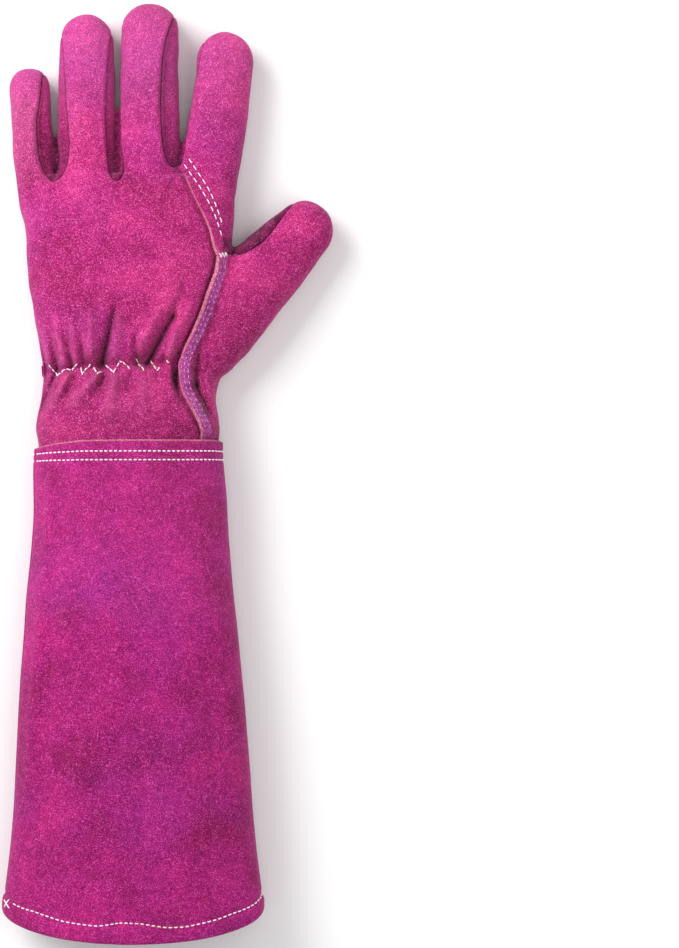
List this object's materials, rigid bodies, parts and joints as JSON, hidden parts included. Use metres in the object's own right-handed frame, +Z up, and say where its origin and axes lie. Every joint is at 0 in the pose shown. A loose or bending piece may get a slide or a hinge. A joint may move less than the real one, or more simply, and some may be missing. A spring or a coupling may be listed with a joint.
{
  "type": "rose pruning gauntlet",
  "caption": "Left-hand suede gauntlet with separate fingers, a gathered wrist and a long flared cuff, lying palm down.",
  "frame": {"origin": "under the middle of the whole gauntlet, on the surface it lies on", "axes": "+Y from the arm's opening to the fingertips, +X to the thumb's side, +Z up from the surface, out of the back of the hand"},
  "size_m": [0.1562, 0.45, 0.05],
  "materials": {
    "suede": "napped",
    "cuff_suede": "napped"
  },
  "bodies": {
    "root": {"back_panel": "suede", "palm_panel": "suede", "thumb_back": "suede", "ring_front": "suede", "middle_front": "suede", "fourchette_little_ring": "suede", "fourchette_ring_middle": "suede", "fourchette_middle_index": "suede", "palm_welt": "suede", "cuff_back": "cuff_suede", "cuff_front": "cuff_suede"}
  },
  "joints": []
}
